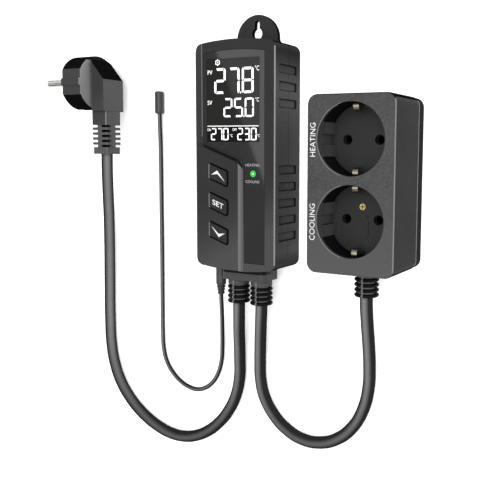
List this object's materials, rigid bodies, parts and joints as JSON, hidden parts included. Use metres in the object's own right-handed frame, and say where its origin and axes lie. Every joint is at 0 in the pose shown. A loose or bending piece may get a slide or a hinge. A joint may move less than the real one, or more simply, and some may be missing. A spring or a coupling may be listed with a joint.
{
  "type": "digital temperature controller",
  "caption": "Hanging temperature controller with a glossy display, slanted buttons, a plug-in probe, an angled mains plug and a box of earthed sockets.",
  "frame": {"origin": "centre of the controller's back, on the plane that the set lies on", "axes": "+X across the controller to the socket box, +Y along the controller to its hanging tab, +Z out of its display"},
  "size_m": [0.2595, 0.2816, 0.043],
  "materials": {
    "charcoal": "fine grain",
    "grey_plastic": "fine grain",
    "button": "smooth, half matt",
    "black_plastic": "half matt",
    "white_plastic": "half matt",
    "blue_plastic": "glossy",
    "green_plastic": "glossy",
    "window": "polished, tinted",
    "display": "polished",
    "lamp": "clear, tinted",
    "board": "solder mask",
    "winding": "taped winding",
    "soft_black": "soft, half matt",
    "cord": "soft, satin",
    "brown_lead": "satin",
    "blue_lead": "satin",
    "green_lead": "satin",
    "brass": "bright",
    "contact_metal": "satin, tinned",
    "nickel": "bright nickel",
    "steel": "zinc plated"
  },
  "bodies": {
    "controller": {"front_shell": "charcoal", "rear_shell": "charcoal", "cord_outlet": "charcoal", "display_window": "window", "lcd_glass": "display", "lcd_frame": "white_plastic", "back_light": "white_plastic", "display_board": "board", "button_switches": "black_plastic", "lamp_lens": "lamp", "lamp_body": "white_plastic", "sounder": "black_plastic", "control_chip": "black_plastic", "display_screws": "steel", "power_board": "board", "heating_relay": "blue_plastic", "cooling_relay": "blue_plastic", "transformer": "winding", "capacitor": "blue_plastic", "fuse": "nickel", "surge_disc": "blue_plastic", "board_link": "black_plastic", "terminal_block": "green_plastic", "board_screws": "steel", "case_screws": "steel", "clamp_bar": "black_plastic", "clamp_screw": "steel", "live_leads": "brown_lead", "neutral_leads": "blue_lead", "earth_leads": "green_lead", "mains_relief": "soft_black", "output_relief": "soft_black", "mains_cord": "cord", "output_cord": "cord", "probe_socket": "black_plastic", "plug_body": "soft_black", "plug_pins": "nickel", "plug_earth_contacts": "contact_metal", "plug_relief": "soft_black", "box_front": "grey_plastic", "box_cover": "charcoal", "heating_insert": "black_plastic", "cooling_insert": "black_plastic", "heating_live_contact": "contact_metal", "cooling_live_contact": "contact_metal", "neutral_contacts": "contact_metal", "heating_earth_strap": "contact_metal", "cooling_earth_strap": "contact_metal", "socket_screw": "brass", "box_screws": "steel", "box_relief": "soft_black", "box_leads": "brown_lead", "sensor_leads": "soft_black"},
    "up_key": {"up_button": "button"},
    "set_key": {"set_button": "button"},
    "down_key": {"down_button": "button"},
    "probe": {"jack_plug": "soft_black", "jack_pin": "nickel", "probe_cord": "cord", "probe_tip": "soft_black"}
  },
  "joints": [
    {"name": "up_press", "type": "slide", "parent": "controller", "child": "up_key", "axis": [0, 0, -1], "range_m": [0, 0.0006], "stiffness_N_per_m": 500, "springref_m": -0.0008},
    {"name": "set_press", "type": "slide", "parent": "controller", "child": "set_key", "axis": [0, 0, -1], "range_m": [0, 0.0006], "stiffness_N_per_m": 500, "springref_m": -0.0008},
    {"name": "down_press", "type": "slide", "parent": "controller", "child": "down_key", "axis": [0, 0, -1], "range_m": [0, 0.0006], "stiffness_N_per_m": 500, "springref_m": -0.0008},
    {"name": "probe_pull", "type": "slide", "parent": "controller", "child": "probe", "axis": [0, -1, 0], "range_m": [0, 0.015]}
  ]
}
